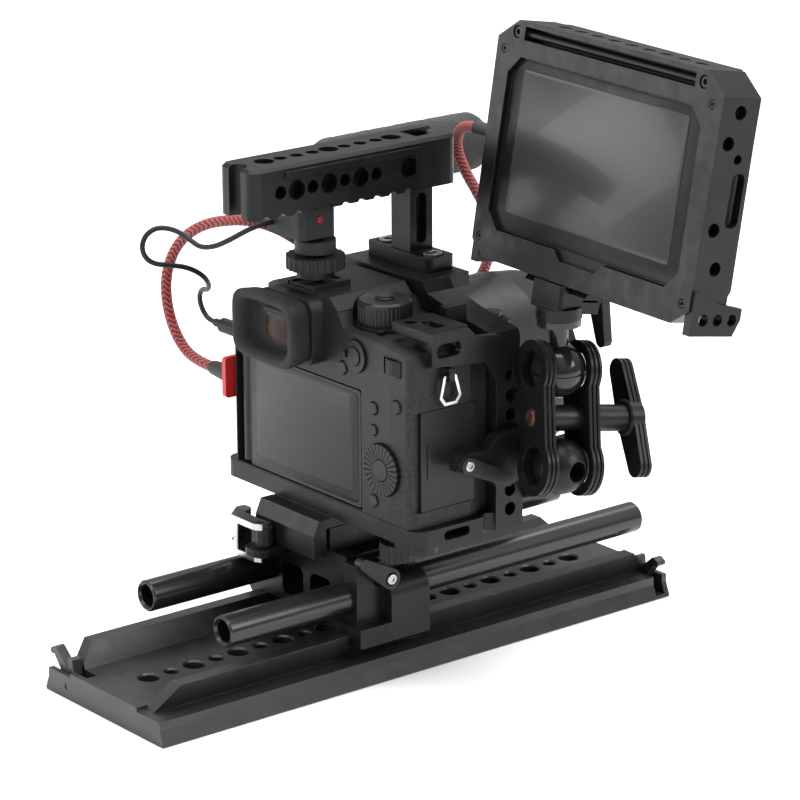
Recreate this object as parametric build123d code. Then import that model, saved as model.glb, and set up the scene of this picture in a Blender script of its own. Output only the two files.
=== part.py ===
from build123d import *
from math import cos, pi, radians, sin, tan
import os

# A camera rig: a sliding base plate, a rod bridge with a quick release, a caged camera
# with a top handle, a microphone, and a monitor on a ball arm.
# Millimetres. +Z is up, -Y is the way the lens looks, -X is the grip side.
# The origin is the centre of the base plate's underside.

# ---------------------------------------------------------------- driving dimensions
PLATE_LENGTH = 304.8        # twelve inches
PLATE_FOOT = 47.1           # half width at the foot
PLATE_HALF = 44.4           # half width at the top
PLATE_TOP = 11.4
WALL_FOOT = 33.0            # outer half width of the channel at its foot
WALL_LIP = 38.5             # and at its undercut lip
WALL_TOP = 24.0
FLOOR = 13.4                # channel floor
HOLE_PITCH = 12.7
R_QUARTER = 3.175           # 1/4-20 thread, major radius
R_THREE_EIGHTHS = 4.7625    # 3/8-16 thread, major radius
STOP_PIVOT = (30.0, 6.0)    # X, Z of a safety stop's pin
STOP_SLOT = (144.0, 149.6)  # Y of the slot that the stop sits in

ROD_R = 7.5
ROD_X = 30.0
ROD_Z = 39.5
ROD_REAR = 107.0
ROD_FRONT = -142.9
ROD_BORE = 5.1              # M12 tapping size
FIT = 0.05                  # radial clearance of a running fit
GAP = 0.3                   # clearance between neighbouring bodies

BRIDGE_REAR = 35.6
BRIDGE_FRONT = -1.0
BRIDGE_TOP = 59.0
LEVER_Y = 22.4              # clamp lever's axis
LEVER_Z = 50.0

QR_LOW, QR_HIGH = -20.4, 24.5       # the quick release along X
QR_FLOOR = 70.8
JAW_PINS = (-14.0, 18.0)            # X of the moving jaw's guide pins
CAGE_BOTTOM = 76.0
CAM_PIVOT = (12.0, 53.6)

CAGE_TOP = 84.5
CAGE_SIDE = -83.0
CAMERA_BOTTOM = 84.7
CAMERA_SIDE = -79.0
CAMERA_FAR = 57.0
CAMERA_BACK = 36.0
CAMERA_FRONT = -22.0
LENS_Z = 124.0

DIAL = (-36.0, 16.5)        # mode dial's axis
DRIVE = (38.5, 15.0)        # drive dial's axis
THUMB = (-66.0, 28.3)       # rear thumb wheel's axis
WHEEL = (-58.4, 109.0)      # rear control wheel, X and Z
AF = (-39.5, 158.4)         # focus lever, X and Z

# X, Z and radius of each round button on the back
BUTTONS = {
    "disp_button": (-68.5, 141.0, 3.2),
    "cursor_button": (-52.0, 136.6, 3.0),
    "fn_button": (-52.0, 126.3, 2.6),
    "menu_button": (-51.8, 92.6, 3.0),
    "lock_button": (-29.6, 150.6, 3.2),
}

MIC_Y = 28.5
FOAM_X, FOAM_Z, FOAM_R = 33.0, 225.5, 14.4
BAR_LOW, BAR_TOP = 221.0, 244.5
BAR_FRONT, BAR_REAR = -45.5, 73.3

SIDE_PIVOT = (13.5, 114.5)    # side clamp's lever, Y and Z
BALL_R = 12.7
ARM_MIDDLE = (-103.5, -30.2, 131.2)
ARM_AXIS = (-0.18, -0.97, -0.15)    # along the clamp bolt
ARM_LONG = (0.27, -0.20, 0.94)      # from the lower ball to the upper one
BALL_SPACING = 43.6
ARM_INNER, ARM_OUTER = 9.0, 14.8    # faces of the arm's plates, from the middle

MONITOR_AT = (-113.0, -40.0, 246.5)
MONITOR_YAW = -3.2
MONITOR_PITCH = 9.9

HDMI_R = 2.65
MIC_WIRE_R = 1.25
HDMI_ROUTE = [
    (75.5, 33, 125.5), (87, 33, 125.5), (98, 34.5, 130), (106, 36, 142), (110, 36, 157), (108, 35, 171),
    (100, 33, 184), (86, 30, 193.5), (69, 26.5, 198.5), (57, 22.5, 199.8), (49.5, 13, 196), (50, 1, 188),
    (57, -11, 180.5), (66, -22, 172.5), (72, -34, 163.5), (75, -47, 154.5), (73.5, -62, 146), (66, -78,
                                                                                               139.5),
    (56, -93, 138.5), (48, -103, 144.5), (41.5, -107, 155.5), (33, -104, 168), (24, -97, 181), (17, -88, 194),
    (12.5, -78, 206.5), (10.5, -68.5, 219), (9.7, -63, 231), (5.4, -60.8, 239.5),
    (-1.9445, -60.0221, 244.093), (-9.932, -59.5755, 244.093),
]
MIC_ROUTE = [
    (14, 42.4, 211), (14, 49, 211), (17, 55, 208.5), (23.5, 60, 203.5), (32, 62.5, 199), (40, 64.5, 197.5),
    (46.5, 65, 199.5), (52.5, 67.5, 203), (56.3, 72.5, 205), (58, 77.6, 205), (59.5, 81.8, 201.8),
    (60.1, 83.4, 196.5), (59.5, 81.8, 191.3), (58, 77.6, 188), (57, 69, 186.3), (56.5, 59.5, 183.5),
    (58, 50.5, 178), (63, 43.5, 171.5), (70.5, 38.5, 166.5), (76.7, 35.6, 164.3), (82.2, 33.5, 163),
    (86.4, 32.3, 159.9), (88, 31.3, 155), (86.4, 30.4, 150.1), (82.2, 30, 147), (77, 30, 147),
]

nodes = {}


# ---------------------------------------------------------------- small helpers
def box(x0, x1, y0, y1, z0, z1):
    """Block between two values of each of X, Y and Z."""
    middle = Pos((x0 + x1) / 2, (y0 + y1) / 2, (z0 + z1) / 2)
    return middle * Box(x1 - x0, y1 - y0, z1 - z0)


def rod(start, end, radius):
    """Round bar from one point to another."""
    start, end = Vector(*start), Vector(*end)
    along = end - start
    upright = (Align.CENTER, Align.CENTER, Align.MIN)
    return Plane(origin=start, z_dir=along) * Cylinder(radius, along.length, align=upright)


def tube(start, end, outer, inner):
    """Round pipe from one point to another."""
    return rod(start, end, outer) - rod(start, end, inner)


def outline(points, radius=0.0):
    """Closed flat face through points, its corners rounded."""
    face = make_face(Polyline(*points, close=True))
    return fillet(face.vertices(), radius) if radius else face


def link(first, second, r_first, r_second):
    """Flat tapered link around two centres."""
    ends = Pos(*first) * Circle(r_first), Pos(*second) * Circle(r_second)
    return make_hull(ends[0].edges() + ends[1].edges())


def plate_xy(face, z0, z1):
    return Pos(0, 0, z0) * extrude(face, amount=z1 - z0)


def plate_xz(face, y0, y1):
    """Face drawn in X and Z, thick from y0 to y1."""
    return Plane(origin=(0, y1, 0), x_dir=(1, 0, 0), z_dir=(0, -1, 0)) * extrude(face, amount=y1 - y0)


def plate_yz(face, x0, x1):
    """Face drawn in Y and Z, thick from x0 to x1."""
    return Plane(origin=(x0, 0, 0), x_dir=(0, 1, 0), z_dir=(1, 0, 0)) * extrude(face, amount=x1 - x0)


def round_rect(x, y, width, height, radius):
    return Pos(x, y) * RectangleRounded(width, height, radius)


def ring_of(cutter, count, centre):
    """Copies of a cutter turned about a vertical axis through centre (X, Y)."""
    home = Pos(-centre[0], -centre[1], 0) * cutter
    return [Pos(centre[0], centre[1], 0) * Rot(0, 0, 360 * i / count) * home for i in range(count)]


def turned(part, centre, angle=180):
    """Part turned about the vertical axis through centre (X, Y)."""
    return Pos(centre[0], centre[1], 0) * Rot(0, 0, angle) * Pos(-centre[0], -centre[1], 0) * part


def hex_socket(start, end, radius):
    """Six-sided recess for a hex key, from one point to another."""
    start, end = Vector(*start), Vector(*end)
    along = end - start
    return Plane(origin=start, z_dir=along) * extrude(RegularPolygon(radius, 6), amount=along.length)


# ---------------------------------------------------------------- base plate and its stops
def dovetail_plate():
    right = [(46.3, 0), (PLATE_FOOT, 0.8), (PLATE_HALF, 7.4), (PLATE_HALF, PLATE_TOP), (WALL_FOOT, PLATE_TOP),
             (WALL_LIP, WALL_TOP), (WALL_LIP - 7, WALL_TOP), (WALL_FOOT - 6.5, FLOOR)]
    left = [(-x, z) for x, z in reversed(right)]
    half = PLATE_LENGTH / 2
    plate = plate_xz(outline(right + left), -half, half)
    ramp = outline([(half + 1, PLATE_TOP), (half - 4.4, PLATE_TOP), (half - 16.4, WALL_TOP + 0.1),
                    (half + 1, WALL_TOP + 0.1)])
    cuts = []
    for side in (-1, 1):
        low, high = sorted((side * (WALL_FOOT - 6.5), side * (WALL_LIP + 1)))
        cuts += [plate_yz(ramp, low, high), plate_yz(mirror(ramp, Plane.YZ), low, high)]
    for index in range(21):
        y = (index - 10) * HOLE_PITCH
        radius = R_THREE_EIGHTHS if index % 2 == 0 else R_QUARTER
        cuts.append(rod((0, y, -1), (0, y, FLOOR + 1), radius))
        cuts.append(Pos(0, y, FLOOR) * Rot(180, 0, 0) * Cone(radius + 0.8, radius - 0.2, 1.0,
                                                             align=(Align.CENTER, Align.CENTER, Align.MIN)))
    slot = box(17, 50, STOP_SLOT[0], STOP_SLOT[1], 2.0, 30)
    pin_hole = rod((STOP_PIVOT[0], 139, STOP_PIVOT[1]), (STOP_PIVOT[0], half + 1, STOP_PIVOT[1]), 1.5)
    for cut in (slot, pin_hole):
        cuts += [cut, turned(cut, (0, 0))]
    x, z = STOP_PIVOT
    pin = rod((x, 139, z), (x, half - 0.4, z), 1.5)
    return plate - cuts + pin + turned(pin, (0, 0))


def rear_stop():
    """Forked lever that stands up out of its slot beside the channel."""
    x, z = STOP_PIVOT
    y0, y1 = STOP_SLOT[0] + GAP, STOP_SLOT[1] - GAP
    outer = link((x, z), (x + 13.5, z + 13.5), 3.4, 1.7)
    inner = link((x, z), (x + 1.0, z + 11.5), 3.4, 1.6)
    foot = outline([(x - 9, z - 2.6), (x, z - 3.4), (x, z + 3.4), (x - 7, z + 2.6)])
    tip = link((x + 13.5, z + 13.5), (x + 15.5, z + 12.6), 1.7, 1.5)
    lever = plate_xz(outer + inner + foot + tip, y0, y1)
    return lever - rod((x, y0 - 1, z), (x, y1 + 1, z), 1.5 + FIT)


# ---------------------------------------------------------------- rods and their bridge
def rail(x):
    bar = rod((x, ROD_FRONT, ROD_Z), (x, ROD_REAR, ROD_Z), ROD_R)
    bar = chamfer(bar.edges().filter_by(GeomType.CIRCLE), 0.8)
    bore = rod((x, ROD_REAR - 24, ROD_Z), (x, ROD_REAR + 1, ROD_Z), ROD_BORE)
    mouth = Plane(origin=(x, ROD_REAR, ROD_Z), z_dir=(0, -1, 0)) * Cone(
        ROD_BORE + 1.2, ROD_BORE, 1.2, align=(Align.CENTER, Align.CENTER, Align.MIN))
    return bar - bore - mouth


def bridge_base():
    profile = outline([(-ROD_X, WALL_TOP + 0.1), (WALL_LIP + 0.3, WALL_TOP + 0.1), (36.6, 19.0), (42, 19.0),
                       (46, 24), (46, 52), (39, BRIDGE_TOP), (-ROD_X, BRIDGE_TOP)])
    block = plate_xz(profile, BRIDGE_FRONT, BRIDGE_REAR)
    windows = [plate_xz(round_rect(x, 35.8, width, 16.5, 4), BRIDGE_FRONT - 1, BRIDGE_REAR + 1)
               for x, width in ((11.3, 16.5), (-10.3, 16.5))]
    bores = [rod((x, -5, ROD_Z), (x, 40, ROD_Z), ROD_R + FIT) for x in (-ROD_X, ROD_X)]
    bolt = rod((-31, LEVER_Y, LEVER_Z), (-7, LEVER_Y, LEVER_Z), 2.5)
    tongue = plate_xy(round_rect(CAM_PIVOT[0], 47, 15, 25, 5), 53.4, 56.8)
    tongue -= rod((*CAM_PIVOT, 50), (*CAM_PIVOT, 60), 2.0 + FIT)
    tongue -= box(-10, 30, 20, BRIDGE_REAR, 50, 60)
    return block - windows - bores - bolt + tongue


def dovetail_jaw():
    """Clamp jaw: closes on the near rod and hooks under the channel's lip."""
    inner = -ROD_X - GAP
    hook = [(inner, WALL_TOP + 0.1), (-WALL_LIP - 0.3, WALL_TOP + 0.1), (-36.6, 19.0), (-46, 19.0)]
    tall_face = outline(hook + [(-46, 50), (inner, 50)])
    corner = tall_face.vertices().sort_by_distance(Vector(-46, 50, 0))[0]
    tall = plate_xz(fillet(corner, 11), BRIDGE_FRONT, LEVER_Y - 0.8)
    foot = plate_xz(outline(hook + [(-46, 28.3), (inner, 28.3)]), LEVER_Y - 0.8, 40)
    rear = box(-39.6, inner, LEVER_Y - 0.8, 37, 28.3, 57)
    top = box(-34.4, inner, 8, LEVER_Y - 0.8, 50, 57)
    jaw = tall + foot + rear + top
    jaw -= rod((-ROD_X, -5, ROD_Z), (-ROD_X, 45, ROD_Z), ROD_R + FIT)
    jaw -= rod((-50, LEVER_Y, LEVER_Z), (-36.4, LEVER_Y, LEVER_Z), 5.7)
    return jaw - rod((-40, LEVER_Y, LEVER_Z), (-25, LEVER_Y, LEVER_Z), 2.5)


def clamp_lever():
    """Lever of the clamp jaw, with its screw."""
    tip = (LEVER_Y + 15.4, LEVER_Z + 10.2)
    arm = plate_yz(link((LEVER_Y, LEVER_Z), tip, 5.0, 2.6), -47, -42.4)
    hub = rod((-47, LEVER_Y, LEVER_Z), (-36.7, LEVER_Y, LEVER_Z), 5.0)
    seat = rod((-48, LEVER_Y, LEVER_Z), (-44.6, LEVER_Y, LEVER_Z), 3.2)
    shaft = rod((-45, LEVER_Y, LEVER_Z), (-9, LEVER_Y, LEVER_Z), 2.4)
    head = rod((-46.8, LEVER_Y, LEVER_Z), (-44.6, LEVER_Y, LEVER_Z), 2.7)
    return arm + hub - seat + shaft + head - hex_socket((-48, LEVER_Y, LEVER_Z),
                                                        (-45.4, LEVER_Y, LEVER_Z), 1.6)


# ---------------------------------------------------------------- quick release
def qr_clamp():
    body = box(QR_LOW, QR_HIGH, -7, 37.4, BRIDGE_TOP, QR_FLOOR)
    jaw = outline([(-7, QR_FLOOR), (-0.7, QR_FLOOR), (2.69, 75.7), (-4.5, 75.7), (-7, 73)])
    body += plate_yz(jaw, QR_LOW, QR_HIGH)
    pins = [rod((x, 17, 64.5), (x, 40, 64.5), 2.0 + FIT) for x in JAW_PINS]
    return body - pins


def qr_jaw():
    """Moving jaw with its two pressed-in guide pins."""
    face = outline([(39.7, 57.6), (47, 57.6), (47, 68.6), (43.8, 75.7), (36.31, 75.7), (39.7, QR_FLOOR)])
    return plate_yz(face, QR_LOW, QR_HIGH) + [rod((x, 20, 64.5), (x, 44, 64.5), 2.0) for x in JAW_PINS]


def qr_plate():
    face = outline([(-0.4, QR_FLOOR + 0.1), (39.4, QR_FLOOR + 0.1), (39.4, 71.2), (36.0, CAGE_BOTTOM),
                    (3.0, CAGE_BOTTOM),
                    (-0.4, 71.2)])
    plate = plate_yz(face, -20, 24)
    return plate - rod((8, 19, 60), (8, 19, 80), 6.3)


def qr_cam():
    """Eccentric cam under the chromed lever, with its pivot pin."""
    x, y = CAM_PIVOT
    cam = rod((x, y - 2, 57.2), (x, y - 2, 65.8), 4.2)
    return cam + rod((x, y, 50), (x, y, 68.9), 2.0)


def qr_cam_lever():
    """Chromed lever with an upper and a lower cheek and a closed end."""
    x, y = CAM_PIVOT
    cheek = outline([(x - 3.4, y - 3), (x + 16.5, y - 3), (x + 19.5, y - 9.4), (x + 25, y - 9.4),
                     (x + 25.5, y - 5),
                     (x + 18, y + 4), (x, y + 4), (x - 3.4, y + 2)], 1.2)
    upper = plate_xy(cheek, 65.8, 68.9)
    lower = plate_xy(cheek, 50.0, 52.8)
    web_face = outline([(x + 16.5, y - 3), (x + 19.5, y - 9.4), (x + 25, y - 9.4), (x + 25.5, y - 5),
                        (x + 18, y + 4),
                        (x + 13, y + 4), (x + 13, y - 1)], 0.8)
    web = plate_xy(web_face, 52.8, 65.8)
    lever = upper + lower + web
    lever = lever - rod((x, y, 40), (x, y, 80), 2.0)
    return lever - rod((x + 18, y + 10, 59.3), (x + 18, y + 1.5, 59.3), 3.0)


# ---------------------------------------------------------------- cage
def cage():
    base = box(CAGE_SIDE, 64, -26, CAMERA_BACK, CAGE_BOTTOM, CAGE_TOP)
    base = fillet(base.edges().filter_by(Axis.Z).sort_by(Axis.Y)[-2:], 7)
    pad = fillet(box(CAGE_SIDE, -62, 21, CAMERA_BACK, 73, CAGE_BOTTOM).edges().filter_by(Axis.Z), 6)
    frame = outline([(CAGE_SIDE, CAGE_BOTTOM), (CAGE_SIDE, 160), (-79.4, 169), (-56, 172.8), (-34, 178),
                     (-30, 183),
                     (30, 183), (34, 178), (56, 172), (64, 164), (64, CAGE_BOTTOM), (57.6, CAGE_BOTTOM),
                     (57.6, 160.5), (50.4, 168.7), (30.6, 169), (26.4, 176.2), (-26.4, 176.2), (-30.4, 170.4),
                     (-56, 168.9), (-74.4, 166.8), (-76, 165), (-76, CAGE_BOTTOM)])
    ring = plate_xz(frame, -26, -10)
    block = box(-30, 30, -38, -26, 176.2, 183)
    side = outline([(27, 161), (27, 176), (6, 175.6), (1, 170.5), (-11, 169.5), (-23, 161), (-26, 156),
                    (-26, 120),
                    (-10, 120), (-10, 148), (-4, 157.5)])
    arm = plate_yz(side, CAGE_SIDE, -79.5)
    arm -= plate_yz(round_rect(17.6, 167.6, 13.8, 6.4, 2.4), CAGE_SIDE - 1, -79)
    shelf = box(-79.5, -54.5, 4, 27, 171.8, 176) - plate_xy(round_rect(-69, 15.5, 12, 6, 2), 170, 178)
    shelf -= rod((-60, 21, 170), (-60, 21, 180), R_QUARTER)
    tab = box(-62, -57.5, -10, 2, 169.4, 179.5)
    body = base + pad + ring + block + arm + shelf + tab
    slot = plate_yz(round_rect(13, 80.3, 15, 4.6, 2.2), CAGE_SIDE - 1, -75)
    groove = rod((-83.6, -6.2, 70), (-83.6, -6.2, 90), 3.8)
    holes = [rod((-84, -18.4, z), (-75, -18.4, z), R_QUARTER) for z in (85.1, 94.3, 130, 139.3, 148.5)]
    tripod = rod((8, 19, 70), (8, 19, 90), R_QUARTER) + rod((8, 19, 70), (8, 19, 79.6), 6.3)
    knob = rod((-58, 28, 70), (-58, 28, 83.2), 3.0 + FIT)
    lighten = plate_xy(round_rect(-40, 8, 22, 26, 5) + round_rect(40, 6, 20, 26, 5), 70, 90)
    bolts = [rod((x, -28.5, 178), (x, -28.5, 190), 2.5) for x in (-15, 18)]
    relief = box(CAGE_SIDE - 1, -80.6, -27, -18.5, 140, 165)
    return body - slot - groove - holes - tripod - knob - lighten - bolts - relief


def thumb_knob():
    knob = rod((-58, 28, 64.5), (-58, 28, 72.6), 8)
    knob -= ring_of(rod((-58 + 8.4, 28, 60), (-58 + 8.4, 28, 80), 1.0), 16, (-58, 28))
    return knob + rod((-58, 28, 72.6), (-58, 28, 82), 3.0)


def strap_ring():
    """Steel D ring that hangs from the camera's side lug."""
    loop = [(20.2, 155.6), (22.6, 145.4), (19.8, 141.6), (12.7, 141.6), (9.9, 145.4), (12.9, 155.6)]
    wire = outline(loop, 1.3)
    ring = plate_yz(wire - offset(wire, -1.5), -82.6, -81.1) - box(-83, -81, 14.9, 18.1, 153, 156)
    return ring + rod((-81.85, 14.8, 154.85), (-81.85, 18.2, 154.85), 0.75)


def strap_lug():
    lug = box(-84.2, CAMERA_SIDE, 15.1, 17.9, 152.4, 158.6)
    lug = fillet(lug.edges().filter_by(Axis.Y).sort_by(Axis.X)[:2], 1.5)
    throat = box(-83.2, -80.2, 13, 20, 153.4, 157.3)
    return lug - throat


# ---------------------------------------------------------------- top handle
def handle_post():
    flange = box(-22, 25, -36.5, -20.5, 183, 189.8)
    flange = fillet(flange.edges().filter_by(Axis.Z), 3)
    post = box(-7, 7, -35, -21.6, 189.8, BAR_LOW)
    groove = plate_yz(round_rect(-28.3, 205.4, 6, 24, 2.6), -8, -1.5)
    back = plate_yz(round_rect(-28.3, 205.4, 6, 24, 2.6), 1.5, 8)
    screws = [rod((x, -28.5, 180), (x, -28.5, 195), 2.5) + rod((x, -28.5, 187.4), (x, -28.5, 195), 5.2)
              for x in (-15, 18)]
    return flange + post - groove - back - screws


def cage_screws():
    """Tripod screw of the camera and the two screws of the handle."""
    tripod = rod((8, 19, 76.4), (8, 19, 79.6), 6.0) + rod((8, 19, 79.6), (8, 19, 92), R_QUARTER - 0.05)
    screws = [tripod - box(2, 14, 18.4, 19.6, 76, 77.6)]
    for x in (-15, 18):
        head = rod((x, -28.5, 187.4), (x, -28.5, 190.6), 4.6)
        screw = head + rod((x, -28.5, 178.1), (x, -28.5, 187.4), 2.45)
        screws.append(screw - hex_socket((x, -28.5, 188.6), (x, -28.5, 191), 2.4))
    return Compound(screws)


def handle_bar():
    bar = box(-13, 13, BAR_FRONT, BAR_REAR, BAR_LOW, BAR_TOP)
    bar = fillet(bar.edges().filter_by(Axis.Z), 5)
    bar = chamfer(bar.faces().sort_by(Axis.Z)[-1].edges(), 1.6)
    for low, high in ((-14.4, -12), (12, 14.4)):
        bar += box(low, high, -23, 55, 238.6, 241.6) + box(low, high, -23, -19.6, 228.4, 241.6)
    cuts = []
    for index in range(9):
        y = 56.8 - index * 9.125
        radius = R_THREE_EIGHTHS if index % 4 == 0 else R_QUARTER
        cuts.append(rod((0, y, 238.4), (0, y, 246), radius))
    for index in range(7):
        y = 57.4 - index * 9.125
        radius = R_QUARTER if index % 2 == 0 else R_THREE_EIGHTHS
        cuts += [rod((side * 14, y, 232.4), (side * 6.5, y, 232.4), radius) for side in (-1, 1)]
    cuts += [rod((side * 14, -16.3, 232.4), (side * 6.5, -16.3, 232.4), R_THREE_EIGHTHS) for side in (-1, 1)]
    for index in range(10):
        y = 66 - index * 9.125
        cuts.append(rod((-14, y, BAR_LOW - 1), (14, y, BAR_LOW - 1), 2.5))
    cuts.append(plate_xy(round_rect(0, BAR_REAR, 9, 12, 4.4), 215, 250))
    cuts.append(box(-9.3, 9.3, BAR_FRONT - 1, -26, 240.9, 243.0))
    cuts.append(box(-6.3, 6.3, BAR_FRONT - 1, -26, 242.5, 246))
    return bar - cuts


# ---------------------------------------------------------------- camera
def camera_body():
    plan = outline([(CAMERA_FAR, CAMERA_BACK), (CAMERA_SIDE, CAMERA_BACK), (CAMERA_SIDE, 2), (-75.4, -9.5),
                    (-75.2, -20), (-65.8, -26), (-62, -36), (-47, -38), (-41, -30), (-39, CAMERA_FRONT),
                    (CAMERA_FAR, CAMERA_FRONT)])
    rear_corners = plan.vertices().sort_by(Axis.Y)[-2:]
    plan = fillet(rear_corners, 5)
    body = plate_xy(plan, CAMERA_BOTTOM, 182)
    front = outline([(CAMERA_SIDE, CAMERA_BOTTOM), (CAMERA_SIDE, 160), (-75, 165.6), (-56, 168), (-30, 169.4),
                     (-26, 175.5), (26, 175.5), (30, 168), (50, 168), (CAMERA_FAR, 160),
                     (CAMERA_FAR, CAMERA_BOTTOM)])
    body &= plate_xz(front, -60, 60)
    hump = outline([(-26, 160), (-26, 176), (-20, 181.5), (20, 181.5), (26, 176), (26, 160)])
    body += plate_xz(hump, -8, CAMERA_BACK)
    body += plate_xz(round_rect(2, 164.5, 40, 31, 6), CAMERA_BACK, 44.4)
    body += rod((0, -24.4, LENS_Z), (0, -20, LENS_Z), 31)
    body += [hot_shoe(), strap_lug()] + port_doors()
    cuts = [box(-42.7, 53, 26.0, 40, 85.3, 142.9)]
    cuts.append(box(-79.6, -77.2, -0.6, 33.6, 92.4, 139.6))
    cuts.append(rod((*THUMB, 155.1), (*THUMB, 162.9), 10.0))
    cuts.append(rod((WHEEL[0], 33.9, WHEEL[1]), (WHEEL[0], 40, WHEEL[1]), 12.5))
    cuts.append(rod((AF[0], 34.6, AF[1]), (AF[0], 40, AF[1]), 7.8))
    cuts.append(rod((*DIAL, 166), (*DIAL, 190), 14.6))
    cuts.append(rod((*DRIVE, 165.6), (*DRIVE, 190), 10.2))
    for x, z, radius in BUTTONS.values():
        cuts.append(rod((x, 32.6, z), (x, 40, z), radius + 0.25))
    cuts.append(rod((-54, -31, 160), (-54, -31, 190), 5.3))
    cuts.append(box(-72, -46, -19, 22, 80, 140.4) - box(-80, -40, -30, 40, 140.2, 150))
    cuts.append(rod((8, 19, 80), (8, 19, 92.4), R_QUARTER))
    cuts.append(rod((54, 33, 125.5), (60, 33, 125.5), 1.0))
    return body - cuts


def back_button(name):
    x, z, radius = BUTTONS[name]
    button = rod((x, 33.8, z), (x, 36.9, z), radius)
    return chamfer(button.edges().filter_by(GeomType.CIRCLE).sort_by(Axis.Y)[-1], 0.5)


def control_wheel():
    x, z = WHEEL
    wheel = tube((x, 34.2, z), (x, 37.8, z), 12.1, 5.3)
    notch = rod((x + 12.5, 30, z), (x + 12.5, 40, z), 0.7)
    home = Pos(-x, 0, -z) * notch
    return wheel - [Pos(x, 0, z) * Rot(0, 360 * i / 30, 0) * home for i in range(30)]


def set_button():
    return rod((WHEEL[0], 34.7, WHEEL[1]), (WHEEL[0], 38.0, WHEEL[1]), 4.9)


def af_lever():
    x, z = AF
    ring = tube((x, 34.9, z), (x, 37.4, z), 7.5, 4.6)
    return ring + box(x + 4.9, x + 7.3, 37.4, 38.8, z - 1.4, z + 1.4)


def af_button():
    return rod((AF[0], 35.3, AF[1]), (AF[0], 37.9, AF[1]), 4.2)


def thumb_wheel():
    wheel = rod((*THUMB, 155.5), (*THUMB, 162.5), 9.5)
    notch = rod((THUMB[0] + 9.9, THUMB[1], 150), (THUMB[0] + 9.9, THUMB[1], 170), 0.8)
    return wheel - ring_of(notch, 28, THUMB)


def mode_dial():
    dial = rod((*DIAL, 170.6), (*DIAL, 181.2), 12.6)
    dial = chamfer(dial.edges().filter_by(GeomType.CIRCLE).sort_by(Axis.Z)[-1], 0.9)
    notch = rod((DIAL[0] + 13.0, DIAL[1], 160), (DIAL[0] + 13.0, DIAL[1], 179), 0.75)
    well = tube((*DIAL, 178.4), (*DIAL, 185), 4.8, 3.7)
    return dial + rod((*DIAL, 178), (*DIAL, 182.6), 3.7) - ring_of(notch, 40, DIAL) - well


def power_lever():
    lever = rod((*DIAL, 166.4), (*DIAL, 170.3), 14.1)
    tab = plate_xy(link(DIAL, (DIAL[0] - 11.5, DIAL[1] + 11.5), 6, 1.6), 169.6, 170.3)
    return lever + tab


def drive_dial():
    dial = rod((*DRIVE, 166.1), (*DRIVE, 171.8), 9.8)
    notch = rod((DRIVE[0] + 10.1, DRIVE[1], 160), (DRIVE[0] + 10.1, DRIVE[1], 170.8), 0.7)
    return dial - ring_of(notch, 30, DRIVE)


def shutter_button():
    return rod((-54, -31, 161.6), (-54, -31, 170.2), 5.0)


def sd_door():
    """Card cover on the grip side, with its thumb ridge."""
    door = box(CAMERA_SIDE, -77.4, -0.3, 30.6, 92.7, 139.3)
    return door + box(-79.5, CAMERA_SIDE, 25, 27, 108, 124)


def battery():
    return fillet(box(-71.6, -46.4, -18.6, 21.6, CAMERA_BOTTOM + 1.0, 139.8).edges().filter_by(Axis.Z), 2)


def hot_shoe():
    shoe = box(-10, 10, 16, 37.6, 181.5, 184.6)
    shoe -= box(-9.0, 9.0, 18.4, 40, 182.2, 183.8)
    return shoe - box(-6.2, 6.2, 18.4, 40, 183, 186)


def lcd_panel():
    """Swinging screen with its hinge barrel at the far edge."""
    panel = fillet(box(-42, 42.2, 27.2, CAMERA_BACK - 0.2, 86.1, 142.1).edges().filter_by(Axis.Y), 1.6)
    barrel = rod((47, 31.5, 87), (47, 31.5, 141.2), 3.9)
    knuckles = box(41, 47, 28.6, 34.4, 96, 132)
    return panel + barrel + knuckles


def eyecup():
    rim = plate_xz(round_rect(5.5, 164.6, 47, 32.6, 9), 44.4, 56)
    rim = fillet(rim.edges().group_by(Axis.Y)[-1], 3.0)
    hollow = plate_xz(round_rect(3, 164.6, 29, 20, 5), 47.6, 60)
    return rim - hollow


def port_doors():
    """Rubber covers over the sockets on the far side."""
    lower = box(CAMERA_FAR, CAMERA_FAR + 1.4, -9.4, 26, 92, 117)
    upper = box(CAMERA_FAR, CAMERA_FAR + 1.4, -9.4, 22, 119, 156)
    return [lower, upper]


# ---------------------------------------------------------------- lens
def lens_barrel():
    mount = rod((0, -26, LENS_Z), (0, -24.4, LENS_Z), 31)
    body = rod((0, -51.5, LENS_Z), (0, -26, LENS_Z), 33)
    sleeve = tube((0, -80, LENS_Z), (0, -51.5, LENS_Z), 26, 23)
    return mount + body + sleeve


def zoom_ring():
    ring = tube((0, -79, LENS_Z), (0, -52, LENS_Z), 34.6, 31.3)
    rib = rod((35.2, -76, 0), (35.2, -56, 0), 0.9)
    return ring - [Pos(0, 0, LENS_Z) * Rot(0, 360 * i / 60, 0) * rib for i in range(60)]


def lens_front():
    barrel = tube((0, -84, LENS_Z), (0, -56, LENS_Z), 31.2, 26.1)
    collar = tube((0, -97, LENS_Z), (0, -84, LENS_Z), 33.2, 28.5)
    seat = rod((0, -88, LENS_Z), (0, -84, LENS_Z), 33.2)
    return barrel + collar + seat - rod((0, -98, LENS_Z), (0, -92.6, LENS_Z), 30.6)


def lens_hood():
    """Petal hood, stored reversed over the lens."""
    half = [(33.26, -97), (42, -97), (43.9, -80), (42.6, -47), (40.9, -47), (42.2, -80), (40.6, -94),
            (35.6, -94),
            (35.6, -86), (33.26, -86)]
    shell = revolve(make_face(Polyline(*half, close=True)), Axis.Y)
    edge = ThreePointArc((46, -66), (0, -47.0), (-46, -66))
    notch = make_face([edge, Polyline((-46, -66), (-46, -40), (46, -40), (46, -66))])
    return Pos(0, 0, LENS_Z) * (shell - plate_xy(notch, -60, 60))


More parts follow.
